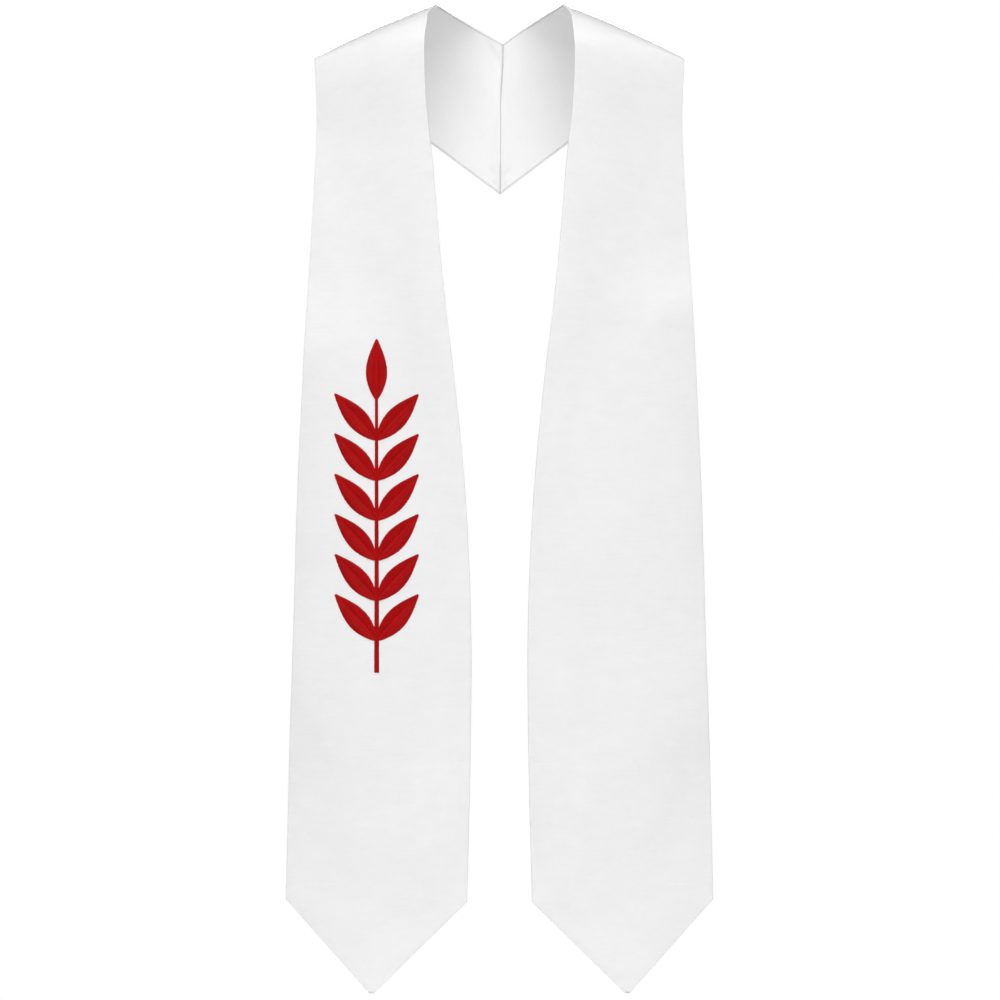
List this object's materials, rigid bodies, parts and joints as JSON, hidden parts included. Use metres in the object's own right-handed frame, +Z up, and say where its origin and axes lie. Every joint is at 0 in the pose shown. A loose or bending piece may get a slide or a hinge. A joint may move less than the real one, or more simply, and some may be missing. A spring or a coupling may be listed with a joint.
{
  "type": "graduation stole",
  "caption": "White satin stole as worn: strips joined at the centre back, passing over the shoulders and down the front to points, one panel embroidered with a red leaf sprig.",
  "frame": {"origin": "midway between the neck ends of the shoulder ridges, level with the underside of the cloth there, where the stole sits on a wearer's neck and shoulders", "axes": "+Z up along the hanging panels, -Y the way the wearer faces, +X the wearer's left"},
  "size_m": [0.341, 0.1792, 0.7911],
  "materials": {
    "satin_face": "white polyester bridal satin, soft sheen",
    "satin_lining": "white satin lining, soft sheen",
    "red_thread": "dark red satin stitch"
  },
  "bodies": {
    "root": {"left_face": "satin_face", "right_face": "satin_face", "left_lining": "satin_lining", "right_lining": "satin_lining", "embroidered_sprig": "red_thread"}
  },
  "joints": []
}
